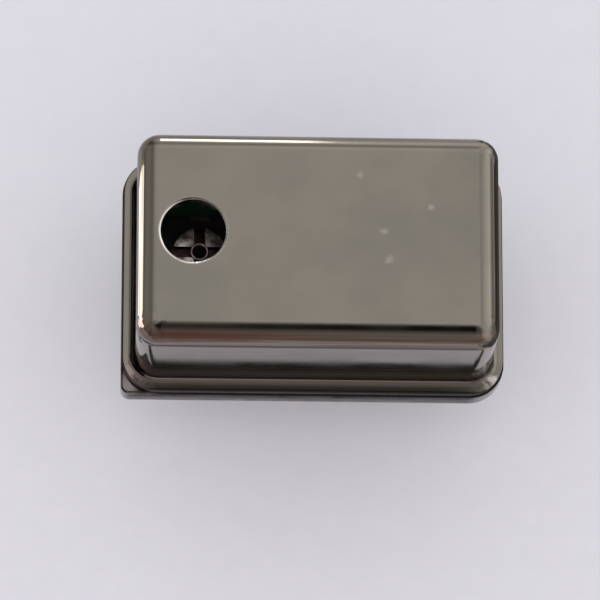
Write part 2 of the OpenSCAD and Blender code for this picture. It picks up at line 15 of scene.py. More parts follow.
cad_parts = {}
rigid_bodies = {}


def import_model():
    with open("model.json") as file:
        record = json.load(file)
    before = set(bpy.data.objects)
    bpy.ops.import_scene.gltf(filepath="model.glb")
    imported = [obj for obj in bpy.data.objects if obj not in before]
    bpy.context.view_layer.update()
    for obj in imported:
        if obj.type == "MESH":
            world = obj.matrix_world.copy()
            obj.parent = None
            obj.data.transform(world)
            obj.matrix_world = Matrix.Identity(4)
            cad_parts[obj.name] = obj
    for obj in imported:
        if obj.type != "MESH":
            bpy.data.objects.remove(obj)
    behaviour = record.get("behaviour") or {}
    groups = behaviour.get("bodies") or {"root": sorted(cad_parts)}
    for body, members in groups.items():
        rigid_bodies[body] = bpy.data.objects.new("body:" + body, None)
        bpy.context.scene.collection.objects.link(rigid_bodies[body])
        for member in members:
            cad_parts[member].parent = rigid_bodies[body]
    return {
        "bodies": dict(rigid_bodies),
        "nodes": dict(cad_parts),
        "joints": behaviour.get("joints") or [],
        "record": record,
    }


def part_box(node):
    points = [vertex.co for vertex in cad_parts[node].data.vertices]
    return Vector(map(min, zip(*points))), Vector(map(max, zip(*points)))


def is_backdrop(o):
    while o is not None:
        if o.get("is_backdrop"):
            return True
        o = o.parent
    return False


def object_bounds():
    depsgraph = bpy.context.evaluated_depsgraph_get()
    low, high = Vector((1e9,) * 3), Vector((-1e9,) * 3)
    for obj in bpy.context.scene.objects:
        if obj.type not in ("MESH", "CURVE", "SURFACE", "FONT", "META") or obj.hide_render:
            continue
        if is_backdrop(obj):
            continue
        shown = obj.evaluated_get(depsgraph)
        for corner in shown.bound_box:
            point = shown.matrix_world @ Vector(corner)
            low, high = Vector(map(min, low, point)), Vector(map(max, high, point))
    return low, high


LOG = logging.getLogger("oscillator")
MM = 0.001

Colour = tuple[float, float, float, float]
Triple = tuple[float, float, float]
Stops = tuple[tuple[float, float], ...]


def srgb(red: int, green: int, blue: int) -> Colour:
    """Turns an eight-bit screen colour into the linear colour that a shader socket takes.

    Args:
        red: Red from 0 to 255.
        green: Green from 0 to 255.
        blue: Blue from 0 to 255.

    Returns:
        The linear colour with a full alpha.
    """
    def linear(channel: int) -> float:
        """Returns one channel as linear light."""
        share = channel / 255
        return share / 12.92 if share <= 0.04045 else ((share + 0.055) / 1.055) ** 2.4

    return (linear(red), linear(green), linear(blue), 1.0)


# ------------------------------------------------------------------------------ node work


class Bench:
    """Adds nodes to one node tree and wires them together."""

    def __init__(self, tree: bpy.types.NodeTree) -> None:
        """Keeps the tree that the nodes go into."""
        self.tree = tree

    def add(self, kind: str, **settings: Any) -> bpy.types.Node:
        """Adds a node.

        Args:
            kind: Blender's name for the node type.
            **settings: Attributes set on the node.

        Returns:
            The new node.
        """
        node = self.tree.nodes.new(kind)
        for name, value in settings.items():
            setattr(node, name, value)
        return node

    def feed(self, socket: bpy.types.NodeSocket, value: Any) -> None:
        """Gives an input its value.

        Args:
            socket: The input.
            value: An output to link to it, or a constant.
        """
        if isinstance(value, bpy.types.NodeSocket):
            self.tree.links.new(value, socket)
        else:
            socket.default_value = value

    def math(self, operation: str, *values: Any, clamp: bool = False) -> bpy.types.NodeSocket:
        """Adds a Math node.

        Args:
            operation: The operation's name.
            *values: One socket or number for each input.
            clamp: Whether the result is held between 0 and 1.

        Returns:
            The result's socket.
        """
        node = self.add("ShaderNodeMath", operation=operation, use_clamp=clamp)
        for socket, value in zip(node.inputs, values):
            self.feed(socket, value)
        return node.outputs[0]

    def vector(self, operation: str, *values: Any) -> bpy.types.Node:
        """Adds a Vector Math node.

        Args:
            operation: The operation's name.
            *values: One socket or vector for each input.

        Returns:
            The node, whose result is in Vector or Value.
        """
        node = self.add("ShaderNodeVectorMath", operation=operation)
        for socket, value in zip(node.inputs, values):
            self.feed(socket, value)
        return node

    def split(self, vector: Any) -> Any:
        """Splits a vector into its parts.

        Args:
            vector: The vector's socket.

        Returns:
            The outputs X, Y and Z.
        """
        node = self.add("ShaderNodeSeparateXYZ")
        self.feed(node.inputs[0], vector)
        return node.outputs

    def fade(self, value: Any, start: float, end: float, low: float = 0.0,
             high: float = 1.0) -> bpy.types.NodeSocket:
        """Maps a value smoothly from one range to another.

        Args:
            value: The value's socket.
            start: Where the fade starts.
            end: Where the fade ends.
            low: The result at the start.
            high: The result at the end.

        Returns:
            The result's socket.
        """
        node = self.add("ShaderNodeMapRange", interpolation_type="SMOOTHSTEP")
        for name, number in (("From Min", start), ("From Max", end), ("To Min", low),
                             ("To Max", high)):
            self.feed(node.inputs[name], number)
        self.feed(node.inputs["Value"], value)
        return node.outputs["Result"]

    def noise(self, vector: Any, scale: Any, detail: float = 2.0,
              rough: float = 0.5) -> bpy.types.NodeSocket:
        """Adds a noise texture.

        Args:
            vector: The coordinates.
            scale: How many features there are to a metre.
            detail: How many finer layers it has.
            rough: How strong the finer layers are.

        Returns:
            The socket of its value, which lies about 0.5.
        """
        node = self.add("ShaderNodeTexNoise")
        self.feed(node.inputs["Vector"], vector)
        self.feed(node.inputs["Scale"], scale)
        self.feed(node.inputs["Detail"], detail)
        self.feed(node.inputs["Roughness"], rough)
        return node.outputs["Fac"]

    def profile(self, value: Any, stops: Stops) -> bpy.types.NodeSocket:
        """Reads a level from a curve of stops.

        Args:
            value: A socket that runs from -1 to 1.
            stops: Pairs of a value and the level there, at most 1.5.

        Returns:
            The level's socket.
        """
        node = self.add("ShaderNodeValToRGB")
        ramp = node.color_ramp
        ramp.interpolation = "EASE"
        while len(ramp.elements) < len(stops):
            ramp.elements.new(1.0)
        for element, (where, level) in zip(ramp.elements, stops):
            element.position = (where + 1) / 2
            element.color = (level, level, level, 1.0)
        self.feed(node.inputs["Fac"], self.math("MULTIPLY_ADD", value, 0.5, 0.5))
        return node.outputs["Color"]

    def blend(self, factor: Any, first: Any, second: Any) -> bpy.types.NodeSocket:
        """Mixes two colours.

        Args:
            factor: How much of the second colour shows.
            first: The first colour.
            second: The second colour.

        Returns:
            The mixed colour's socket.
        """
        node = self.add("ShaderNodeMix", data_type="RGBA")
        self.feed(node.inputs["Factor"], factor)
        self.feed(node.inputs["A"], first)
        self.feed(node.inputs["B"], second)
        return node.outputs["Result"]

    def stripe(self, value: Any, centre: float, width: float) -> bpy.types.NodeSocket:
        """Returns a soft stripe, 1 at its centre and 0 at the width on either side."""
        away = self.math("ABSOLUTE", self.math("SUBTRACT", value, centre))
        return self.fade(away, width, 0.25 * width)

    def stretch(self, vector: Any, scale: Triple,
                move: Triple = (0, 0, 0)) -> bpy.types.NodeSocket:
        """Stretches and moves coordinates with a Mapping node.

        Args:
            vector: The coordinates.
            scale: The factor on each axis.
            move: What is added after that.

        Returns:
            The new coordinates' socket.
        """
        node = self.add("ShaderNodeMapping")
        self.feed(node.inputs["Vector"], vector)
        self.feed(node.inputs["Location"], move)
        self.feed(node.inputs["Scale"], scale)
        return node.outputs["Vector"]

    def bump(self, height: Any, distance: float, normal: Any = None) -> bpy.types.NodeSocket:
        """Turns a height into a normal.

        Args:
            height: The height's socket, from 0 to 1.
            distance: How high 1 stands, in metres.
            normal: The normal of the relief below, or None.

        Returns:
            The normal's socket.
        """
        node = self.add("ShaderNodeBump")
        self.feed(node.inputs["Height"], height)
        self.feed(node.inputs["Distance"], distance)
        self.feed(node.inputs["Strength"], 1.0)
        if normal is not None:
            self.feed(node.inputs["Normal"], normal)
        return node.outputs["Normal"]


class Effect(Enum):
    """The surface effects that several materials share, each one shader node group."""

    MOTTLE = "mottle"
    GRAIN = "grain"
    SPECK = "speck"


class EffectShop:
    """Builds each shared effect once and places it in materials."""

    SOCKETS: dict[Effect, tuple[tuple[str, str, Any], ...]] = {
        Effect.MOTTLE: (("Scale", "NodeSocketFloat", 200.0),
                        ("Contrast", "NodeSocketFloat", 0.5)),
        Effect.GRAIN: (("Scale", "NodeSocketFloat", 4000.0),
                       ("Height", "NodeSocketFloat", 0.01 * MM)),
        Effect.SPECK: (("Centre", "NodeSocketVector", (0.0, 0.0, 0.0)),
                       ("Radius", "NodeSocketFloat", 0.2 * MM)),
    }
    RAGGED_SIZE = 1.3
    RAGGED_REACH = 1.6

    def __init__(self) -> None:
        """Starts with no group built."""
        self.groups: dict[Effect, bpy.types.NodeTree] = {}

    def place(self, bench: Bench, effect: Effect, vector: Any,
              **values: Any) -> bpy.types.NodeSocket:
        """Places an effect in a material.

        Args:
            bench: The material's bench.
            effect: Which effect.
            vector: The coordinates that it follows.
            **values: The effect's inputs, by name.

        Returns:
            The effect's output socket.
        """
        node = bench.add("ShaderNodeGroup", node_tree=self.group(effect))
        bench.feed(node.inputs["Vector"], vector)
        for name, value in values.items():
            bench.feed(node.inputs[name], value)
        return node.outputs[0]

    def group(self, effect: Effect) -> bpy.types.NodeTree:
        """Finds an effect's node group, and builds it at its first use.

        Args:
            effect: Which effect.

        Returns:
            The group.
        """
        if effect not in self.groups:
            self.groups[effect] = self.build(effect)
        return self.groups[effect]

    def build(self, effect: Effect) -> bpy.types.NodeTree:
        """Builds one effect's node group.

        Args:
            effect: Which effect.

        Returns:
            The new group.
        """
        tree = bpy.data.node_groups.new(effect.value, "ShaderNodeTree")
        tree.interface.new_socket("Vector", in_out="INPUT", socket_type="NodeSocketVector")
        for name, kind, default in self.SOCKETS[effect]:
            socket = tree.interface.new_socket(name, in_out="INPUT", socket_type=kind)
            socket.default_value = default
        result_kind = "NodeSocketVector" if effect is Effect.GRAIN else "NodeSocketFloat"
        tree.interface.new_socket("Result", in_out="OUTPUT", socket_type=result_kind)
        bench = Bench(tree)
        inputs = bench.add("NodeGroupInput").outputs
        recipe = {Effect.MOTTLE: self.mottle, Effect.GRAIN: self.grain,
                  Effect.SPECK: self.speck}[effect]
        bench.feed(bench.add("NodeGroupOutput").inputs["Result"], recipe(bench, inputs))
        return tree

    @staticmethod
    def mottle(bench: Bench, inputs: Any) -> bpy.types.NodeSocket:
        """Makes soft cloudy patches, for colour and roughness.

        Args:
            bench: The group's bench.
            inputs: The group's inputs.

        Returns:
            A mask about 0.5.
        """
        broad = bench.noise(inputs["Vector"], inputs["Scale"], 3.0, 0.55)
        centred = bench.math("SUBTRACT", broad, 0.5)
        spread = bench.math("MULTIPLY", centred, inputs["Contrast"])
        return bench.math("ADD", spread, 0.5, clamp=True)

    @staticmethod
    def grain(bench: Bench, inputs: Any) -> bpy.types.NodeSocket:
        """Returns the fine uneven face of a plated or fired surface, as a normal."""
        fine = bench.noise(inputs["Vector"], inputs["Scale"], 2.0, 0.6)
        return bench.bump(fine, inputs["Height"])

    @staticmethod
    def speck(bench: Bench, inputs: Any) -> bpy.types.NodeSocket:
        """Makes one soft ragged spot.

        Args:
            bench: The group's bench.
            inputs: The group's inputs.

        Returns:
            A mask, 1 at the centre and 0 from about the radius outwards.
        """
        away = bench.vector("DISTANCE", inputs["Vector"], inputs["Centre"]).outputs["Value"]
        share = bench.math("DIVIDE", away, inputs["Radius"])
        coarse = bench.vector("SCALE", inputs["Vector"])
        bench.feed(coarse.inputs["Scale"],
                   bench.math("DIVIDE", EffectShop.RAGGED_SIZE, inputs["Radius"]))
        ragged = bench.noise(coarse.outputs["Vector"], 1.0, 2.0, 0.6)
        share = bench.math("ADD", share, bench.math(
            "MULTIPLY_ADD", ragged, EffectShop.RAGGED_REACH, -EffectShop.RAGGED_REACH / 2))
        return bench.fade(share, 1.0, 0.1)


def new_material(name: str) -> tuple[bpy.types.Material, Bench, bpy.types.Node]:
    """Makes an empty material with its surface shader.

    Args:
        name: The material's name.

    Returns:
        The material, its bench and its Principled shader.
    """
    material = bpy.data.materials.new(name)
    material.use_nodes = True
    material.node_tree.nodes.clear()
    bench = Bench(material.node_tree)
    shader = bench.add("ShaderNodeBsdfPrincipled")
    bench.feed(bench.add("ShaderNodeOutputMaterial").inputs["Surface"], shader.outputs["BSDF"])
    return material, bench, shader


def object_coordinates(bench: Bench) -> bpy.types.NodeSocket:
    """Adds a Texture Coordinate node and returns its Object output."""
    return bench.add("ShaderNodeTexCoord").outputs["Object"]


# ------------------------------------------------------------------------------ finishes


class Skin:
    """A material in the making: its nodes, its coordinates, and its colour and gloss so far."""

    def __init__(self, shop: EffectShop, name: str) -> None:
        """Makes the empty material.

        Args:
            shop: Where shared effects come from.
            name: The material's name.
        """
        self.shop = shop
        self.material, self.bench, self.shader = new_material(name)
        self.place = object_coordinates(self.bench)
        self.colour: Any = None
        self.rough: Any = None

    @cached_property
    def axes(self) -> Any:
        """Returns the coordinates as X, Y and Z, split at the first use."""
        return self.bench.split(self.place)

    def effect(self, effect: Effect, **values: Any) -> bpy.types.NodeSocket:
        """Places a shared effect with its values, and returns its output."""
        return self.shop.place(self.bench, effect, self.place, **values)

    def cover(self, tint: Colour, mask: Any, depth: float = 1.0) -> None:
        """Lays a tint over the colour where a mask shows, at most to a depth of 1."""
        self.colour = self.bench.blend(self.bench.math("MULTIPLY", mask, depth), self.colour, tint)


@dataclass(frozen=True)
class Spot:
    """A soft ragged spot of another colour."""

    centre: Vector
    radius: float
    depth: float
    tint: Colour

    def lay(self, skin: Skin) -> None:
        """Lays the spot over the skin's colour."""
        mask = skin.effect(Effect.SPECK, Centre=self.centre, Radius=self.radius)
        skin.cover(self.tint, mask, self.depth)


@dataclass(frozen=True)
class Dent:
    """A corner that the drawing crumpled: where it lies and how far it reaches."""

    centre: Vector
    radius: float


@dataclass(frozen=True)
class Streaks:
    """Level marks of the drawing die: a stretched noise of which the upper part shows."""

    stretch: Triple
    move: Triple
    detail: float
    rough: float
    start: float
    full: float
    depth: float
    tint: Colour

    def lay(self, skin: Skin, wall: Any) -> None:
        """Lays the streaks over the skin's colour.

        Args:
            skin: The material in the making.
            wall: The mask of the drawn walls.
        """
        bench = skin.bench
        lines = bench.noise(bench.stretch(skin.place, self.stretch, self.move), 1.0, self.detail,
                            self.rough)
        shown = bench.math("MULTIPLY", bench.fade(lines, self.start, self.full), wall)
        skin.cover(self.tint, shown, self.depth)


@dataclass(frozen=True)
class Finish:
    """Two close shades in soft patches, uneven gloss and a fine grain."""

    name: str
    shade: Colour
    second: Colour
    _: KW_ONLY
    metallic: float = 0.0
    roughness: float = 0.4
    smoother: float = 0.1
    rougher: float = 0.1
    patch: float = 1.2 * MM
    contrast: float = 2.0
    grain: float = 0.12 * MM
    relief: float = 0.002 * MM
    transmission: float = 0.0

    def make(self, shop: EffectShop) -> bpy.types.Material:
        """Builds the material.

        Args:
            shop: Where shared effects come from.

        Returns:
            The material.
        """
        skin = Skin(shop, self.name)
        bench, shader = skin.bench, skin.shader
        patches = skin.effect(Effect.MOTTLE, Scale=1 / self.patch, Contrast=self.contrast)
        skin.colour = bench.blend(patches, self.shade, self.second)
        skin.rough = bench.fade(patches, 0.0, 1.0, self.roughness - self.smoother,
                                self.roughness + self.rougher)
        self.mark(skin)
        bench.feed(shader.inputs["Normal"], self.relieve(skin))
        bench.feed(shader.inputs["Base Color"], skin.colour)
        bench.feed(shader.inputs["Roughness"], skin.rough)
        shader.inputs["Metallic"].default_value = self.metallic
        shader.inputs["Transmission Weight"].default_value = self.transmission
        return skin.material

    def mark(self, skin: Skin) -> None:
        """Adds the finish's own marks, of which a plain one has none."""

    def relieve(self, skin: Skin) -> bpy.types.NodeSocket:
        """Returns the normal of the fine grain."""
        return skin.effect(Effect.GRAIN, Scale=1 / self.grain, Height=self.relief)


@dataclass(frozen=True, kw_only=True)
class SeamedPlate(Finish):
    """Plated steel with painted shade along the seam where the can is welded on."""

    painted_shade: Colour
    seam_z: float
    corner: Vector
    corner_r: float = 2.0 * MM
    metallic: float = 1.0
    roughness: float = 0.13
    smoother: float = 0.04
    rougher: float = 0.08
    patch: float = 1.4286 * MM
    contrast: float = 2.4
    grain: float = 0.1923 * MM
    relief: float = 0.0008 * MM
    shade_scale: float = 1300.0
    shade_swing: float = 0.4 * MM
    shade_reach: float = 0.5 * MM
    shade_rise: float = 0.1 * MM
    shade_depth: float = 0.95

    def mark(self, skin: Skin) -> None:
        """Paints shade along the seam, except at the open square corner.

        Args:
            skin: The material in the making.
        """
        bench = skin.bench
        uneven = bench.noise(skin.place, self.shade_scale, 3.0, 0.6)
        level = bench.math("MULTIPLY_ADD", uneven, self.shade_swing, skin.axes["Z"])
        # Painted shade along the seam between the can's flange and the base plate.
        seam_shade = bench.fade(level, self.seam_z - self.shade_reach, self.seam_z + self.shade_rise,
                          0.0, self.shade_depth)
        clear = skin.effect(Effect.SPECK, Centre=self.corner, Radius=self.corner_r)
        skin.cover(self.painted_shade, bench.math(
            "MULTIPLY", seam_shade, bench.math("SUBTRACT", 1.0, clear, clamp=True)))


@dataclass(frozen=True, kw_only=True)
class SlottedPlate(Finish):
    """The driver's dulled face: mottled metal with painted shade in the slots, and dark smears on
    its edge, partly grease and partly painted shadow.
    """

    grease_and_shade: Colour
    face_z: float
    stains_and_painted_light: tuple[Spot, ...]
    metallic: float = 1.0
    roughness: float = 0.32
    smoother: float = 0.08
    rougher: float = 0.12
    patch: float = 0.5263 * MM
    contrast: float = 3.0
    grain: float = 0.1923 * MM
    relief: float = 0.008 * MM
    slot_start: float = 0.02 * MM
    slot_full: float = 0.1 * MM
    slot_depth: float = 0.95

    def mark(self, skin: Skin) -> None:
        """Lays the dark smears on the face, and painted shade in the slots.

        Args:
            skin: The material in the making.
        """
        for dark_spot in self.stains_and_painted_light:
            dark_spot.lay(skin)
        # Painted shade in the slots below the driver's face.
        skin.cover(self.grease_and_shade, skin.bench.fade(
            skin.axes["Z"], self.face_z - self.slot_start, self.face_z - self.slot_full, 0.0,
            self.slot_depth))


@dataclass(frozen=True, kw_only=True)
class CanPlate(Finish):
    """Satin plate on a drawn can: drawn walls, spots and crumpled corners, painted shade in the
    bend and a painted reflection on the front shoulder.
    """

    painted_shade: Colour
    painted_reflection: Colour
    rub_and_highlight: Colour
    rim: Vector
    streaks: tuple[Streaks, ...]
    spots: tuple[Spot, ...]
    dents: tuple[Dent, ...]
    hole: Vector
    hole_r: float
    top_z: float
    flange_z: float
    shoulder: float
    bend: float
    metallic: float = 1.0
    roughness: float = 0.14
    smoother: float = 0.03
    rougher: float = 0.05
    patch: float = 3.8462 * MM
    contrast: float = 2.2
    grain: float = 0.1923 * MM
    relief: float = 0.0006 * MM
    drawn_low: float = 0.25 * MM
    drawn_high: float = 0.02 * MM
    drawn_share: float = 0.5
    front_y: float = -5.6 * MM
    front_full_y: float = -6.0 * MM
    dull_z: float = 0.22 * MM
    dull_full_z: float = 0.08 * MM
    dull: float = 0.3
    crush_x: float = 1.0 * MM
    crush_dull: float = 0.28
    wave_scale: float = 170.0
    wave_relief: float = 0.01 * MM
    fold_scale: float = 1300.0
    fold_relief: float = 0.07 * MM
    wall_low: float = 0.4 * MM
    wall_high: float = 0.08 * MM
    ring_fade: float = 0.3 * MM
    ring_share: float = 0.2
    crease_rise: float = 0.05 * MM
    crease_width: float = 0.2 * MM
    crease_depth: float = 0.9
    foot_rise: float = 1.6
    foot_width: float = 1.45
    foot_depth: float = 0.96
    edge_start: float = 0.005 * MM
    edge_full: float = 0.04 * MM
    edge_depth: float = 0.93
    rim_start: float = 0.2 * MM
    rim_full: float = 0.08 * MM
    rim_depth: float = 0.75
    reflection_x: float = 3.0 * MM
    reflection_full_x: float = -9.0 * MM
    reflection_y: float = -4.3 * MM
    reflection_full_y: float = -4.9 * MM
    reflection_drop: float = 0.34 * MM
    reflection_width: float = 0.36 * MM
    reflection_depth: float = 0.7
    reflection_stretch: Triple = (300.0, 300.0, 3000.0)
    reflection_gaps: tuple[float, float] = (0.3, 0.6)
    reflection_share: float = 0.3
    rub_scale: float = 1500.0
    rub_gaps: tuple[float, float] = (0.3, 0.6)
    rub_patchy: float = 0.45
    highlight_lean: Triple = (-0.75, -0.66, 0.0)
    highlight_far_share: float = 0.3
    rub_out: float = 0.05 * MM
    rub_width: float = 0.15 * MM

    def mark(self, skin: Skin) -> None:
        """Adds the can's marks, and makes the walls glossier and the front flange duller.

        Args:
            skin: The material in the making.
        """
        bench, level = skin.bench, skin.axes["Z"]
        ahead = bench.fade(skin.axes["Y"], self.front_y, self.front_full_y)
        self.streak_walls_and_shade_bends(skin)
        self.paint_front_reflection(skin)
        self.shade_edges(skin, ahead)
        for spot in self.spots:
            spot.lay(skin)
        self.rub_and_highlight_hole(skin)
        drawn = bench.fade(level, self.top_z - self.drawn_low, self.top_z - self.drawn_high,
                           self.drawn_share, 1.0)
        dull = bench.fade(level, self.flange_z + self.dull_z, self.flange_z + self.dull_full_z,
                          0.0, self.dull)
        skin.rough = bench.math("ADD", bench.math("MULTIPLY", skin.rough, drawn),
                                bench.math("MULTIPLY", dull, ahead))

    def relieve(self, skin: Skin) -> bpy.types.NodeSocket:
        """Adds slack waves, crumpled corners and fine pits, and dulls the corners at the right.

        Args:
            skin: The material in the making.

        Returns:
            The normal.
        """
        bench = skin.bench
        sheet = bench.bump(bench.noise(skin.place, self.wave_scale, 1.0, 0.4), self.wave_relief)
        right = bench.fade(skin.axes["X"], 0.0, self.crush_x, 0.0, self.crush_dull)
        for dent in self.dents:
            near = skin.effect(Effect.SPECK, Centre=dent.centre, Radius=dent.radius)
            folds = bench.math("MULTIPLY", bench.noise(skin.place, self.fold_scale), near)
            sheet = bench.bump(folds, self.fold_relief, sheet)
            skin.rough = bench.math("ADD", skin.rough, bench.math("MULTIPLY", near, right))
        pits = bench.noise(skin.place, 1 / self.grain, 2.0, 0.6)
        return bench.bump(pits, self.relief, sheet)

    def streak_walls_and_shade_bends(self, skin: Skin) -> None:
        """Adds the streaks on the walls, and painted shade along the crease below the shoulder and
        at the foot of the wall.

        Args:
            skin: The material in the making.
        """
        bench, level = skin.bench, skin.axes["Z"]
        ring = self.top_z - self.shoulder
        wall = bench.fade(level, self.top_z - self.wall_low, self.top_z - self.wall_high, 1.0, 0.0)
        wall = bench.math("MULTIPLY", wall, bench.fade(level, ring - self.ring_fade, ring,
                                                       self.ring_share, 1.0))
        for streaks in self.streaks:
            streaks.lay(skin, wall)
        # Painted shade: a dark line along the crease where the shoulder meets the wall.
        crease = bench.stripe(level, ring + self.crease_rise, self.crease_width)
        skin.cover(self.painted_shade, crease, self.crease_depth)
        # Painted shade: a dark band low on the wall, in the bend above the flange.
        foot = bench.stripe(level, self.flange_z + self.foot_rise * self.bend,
                            self.foot_width * self.bend)
        skin.cover(self.painted_shade, foot, self.foot_depth)

    def paint_front_reflection(self, skin: Skin) -> None:
        """Adds a red-brown painted reflection along the front shoulder, strongest at its left end.

        Args:
            skin: The material in the making.
        """
        bench, axes = skin.bench, skin.axes
        # Painted reflection: a broken red-brown band on the front shoulder, stronger to the left.
        left = bench.fade(axes["X"], self.reflection_x, self.reflection_full_x)
        front = bench.fade(axes["Y"], self.reflection_y, self.reflection_full_y)
        band = bench.stripe(axes["Z"], self.top_z - self.reflection_drop, self.reflection_width)
        streaks = bench.noise(bench.stretch(skin.place, self.reflection_stretch), 1.0)
        broken = bench.fade(streaks, *self.reflection_gaps, self.reflection_share, 1.0)
        skin.cover(self.painted_reflection, bench.math("MULTIPLY", bench.math("MULTIPLY", left, front),
                                         bench.math("MULTIPLY", band, broken)), self.reflection_depth)

    def shade_edges(self, skin: Skin, ahead: Any) -> None:
        """Adds painted shade on the flange's side, and on its outer margin at the front.

        Args:
            skin: The material in the making.
            ahead: 1 on the front flange and 0 elsewhere.
        """
        bench = skin.bench
        # Painted shade on the flange's side, and on its outer margin at the front only.
        edge = bench.fade(skin.axes["Z"], self.flange_z - self.edge_start,
                          self.flange_z - self.edge_full, 0.0, self.edge_depth)
        size = bench.vector("ABSOLUTE", skin.place).outputs["Vector"]
        past = bench.split(bench.vector("SUBTRACT", size, self.rim).outputs["Vector"])
        margin = bench.fade(bench.math("MAXIMUM", past["X"], past["Y"]), -self.rim_start,
                            -self.rim_full, 0.0, self.rim_depth)
        margin = bench.math("MULTIPLY", margin, ahead)
        skin.cover(self.painted_shade, bench.math("MAXIMUM", edge, margin))

    def rub_and_highlight_hole(self, skin: Skin) -> None:
        """Adds the pale ring that a trimming tool rubs on the rim of the hole, brightest towards
        the front left as a painted highlight.

        Args:
            skin: The material in the making.
        """
        bench = skin.bench
        flat = bench.vector("MULTIPLY", skin.place, (1.0, 1.0, 0.0)).outputs["Vector"]
        away = bench.vector("DISTANCE", flat, self.hole).outputs["Value"]
        patchy = bench.fade(bench.noise(skin.place, self.rub_scale, 2.0, 0.6), *self.rub_gaps,
                            self.rub_patchy, 1.0)
        # Painted highlight: the rubbed ring is brighter on its front left side.
        offset = bench.vector("SUBTRACT", flat, self.hole).outputs["Vector"]
        lean = bench.vector("DOT_PRODUCT", offset, self.highlight_lean).outputs["Value"]
        side = bench.fade(lean, -self.hole_r, self.hole_r, self.highlight_far_share, 1.0)
        ring = bench.stripe(away, self.hole_r + self.rub_out, self.rub_width)
        skin.cover(self.rub_and_highlight, bench.math("MULTIPLY", bench.math("MULTIPLY", ring, patchy), side))


# ------------------------------------------------------------------------------ sub-assemblies


@dataclass
class Assembly:
    """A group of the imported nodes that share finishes."""

    frame: dict[str, Any]
    shop: EffectShop
    materials: dict[str, bpy.types.Material] = field(default_factory=dict)

    def wear(self) -> dict[str, Finish]:
        """Returns the finish that each node wears."""
        raise NotImplementedError

    def dress(self, node: str, finish: Finish) -> None:
        """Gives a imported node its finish, and keeps its shape.

        Args:
            node: The node's name.
            finish: The finish to make, or to use again.
        """
        if finish.name not in self.materials:
            self.materials[finish.name] = finish.make(self.shop)
        slots = self.frame["nodes"][node].data.materials
        slots.clear()
        slots.append(self.materials[finish.name])

    def build(self) -> list[str]:
        """Dresses every node of the group.

        Returns:
            The nodes' names.
        """
        wear = self.wear()
        for node, finish in wear.items():
            self.dress(node, finish)
        return list(wear)


@dataclass
class CanShell(Assembly):
    """The drawn can with its flange and trimming hole."""

    flange_t: float = 0.4 * MM
    weld_h: float = 0.1 * MM
    shoulder: float = 1.1 * MM
    bend: float = 0.4 * MM
    hole: Vector = field(default_factory=lambda: Vector((-6.66 * MM, 0.25 * MM, 0)))
    hole_r: float = 1.7 * MM
    stain_drop: float = 0.5 * MM
    scuff_r: float = 0.3 * MM
    scuff_depth: float = 0.3
    scuff_tint: Colour = srgb(196, 194, 188)

    def scuffs(self, top_z: float) -> tuple[Spot, ...]:
        """Lists the pale scuffs on the top.

        Args:
            top_z: The height of the top.

        Returns:
            The scuffs.
        """
        rows = ((2.2, 3.45, 0.8), (6.0, 1.7, 0.9), (3.5, 0.3, 1.1), (3.7, -1.25, 1.2))
        return tuple(Spot(Vector((x * MM, y * MM, top_z)), size * self.scuff_r, self.scuff_depth,
                          self.scuff_tint) for x, y, size in rows)

    def stains_and_painted_light(self, top: float, foot: float) -> tuple[Spot, ...]:
        """Lists the stains, and the painted highlights on creased points at the corners.

        Args:
            top: The height of the stains on the shoulder.
            foot: The height of the flange's upper face.

        Returns:
            The stains.
        """
        rows = (
            (-8.9, -5.0, top, 0.8, 0.6, (134, 118, 108)),
            (-9.2, 5.3, top - 0.2 * MM, 0.9, 0.6, (88, 48, 44)),
            (9.1, 5.1, top, 0.9, 0.5, (180, 172, 162)),
            (9.1, -5.2, top - 0.3 * MM, 0.9, 0.5, (176, 168, 154)),
            (-9.9, -5.9, foot, 1.3, 0.7, (168, 150, 152)),
            (-9.3, -5.6, foot + 1.2 * MM, 1.7, 0.8, (96, 76, 72)),
            (9.5, -5.6, foot + 1.6 * MM, 1.6, 0.8, (104, 92, 88)),
            # Painted highlights: two white glints on the creased front right corner.
            (9.85, -5.75, foot + 0.1 * MM, 0.4, 0.9, (245, 243, 238)),
            (9.5, -6.1, foot + 0.1 * MM, 0.35, 0.9, (245, 243, 238)))
        return tuple(Spot(Vector((x * MM, y * MM, z)), size * MM, depth, srgb(*tint))
                     for x, y, z, size, depth, tint in rows)

    def dents(self, top: float, foot: float) -> tuple[Dent, ...]:
        """Lists the crumpled corners.

        Args:
            top: The height of the dents on the shoulder.
            foot: The height of the flange's upper face.

        Returns:
            The dents.
        """
        rows = ((-9.6, -5.9, foot, 1.3), (-9.0, -5.0, top, 1.1), (9.1, -5.2, top, 1.1),
                (9.6, -5.8, foot + 0.6 * MM, 1.7), (9.0, 5.0, top, 0.8))
        return tuple(Dent(Vector((x * MM, y * MM, z)), size * MM) for x, y, z, size in rows)

    def wear(self) -> dict[str, Finish]:
        """Chooses the can's finish, with its marks where the can's box puts them.

        Returns:
            The finish of the one node.
        """
        low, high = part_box("cover")
        top, foot = high.z - self.stain_drop, low.z + self.weld_h + self.flange_t
        # Drawing-die streaks on the walls, in a brown that paints the reflection of a brown
        # surface.
        reflection_streaks = Streaks((60.0, 60.0, 5200.0), (0.0, 0.0, 0.0), 3.0, 0.65, 0.42, 0.62, 0.8,
                          srgb(104, 82, 75))
        olive = Streaks((110.0, 110.0, 3300.0), (0.3, 0.1, 0.7), 2.0, 0.6, 0.5, 0.66, 0.7,
                        srgb(108, 104, 78))
        return {"cover": CanPlate(
            "can_plate", srgb(138, 132, 123), srgb(131, 127, 119), painted_shade=srgb(30, 21, 19),
            painted_reflection=srgb(112, 62, 52), rub_and_highlight=srgb(238, 234, 228),
            rim=Vector((high.x, -low.y, 1.0)), streaks=(reflection_streaks, olive),
            spots=self.scuffs(high.z) + self.stains_and_painted_light(top, foot), dents=self.dents(top, foot),
            hole=self.hole, hole_r=self.hole_r, top_z=high.z, flange_z=foot,
            shoulder=self.shoulder, bend=self.bend)}


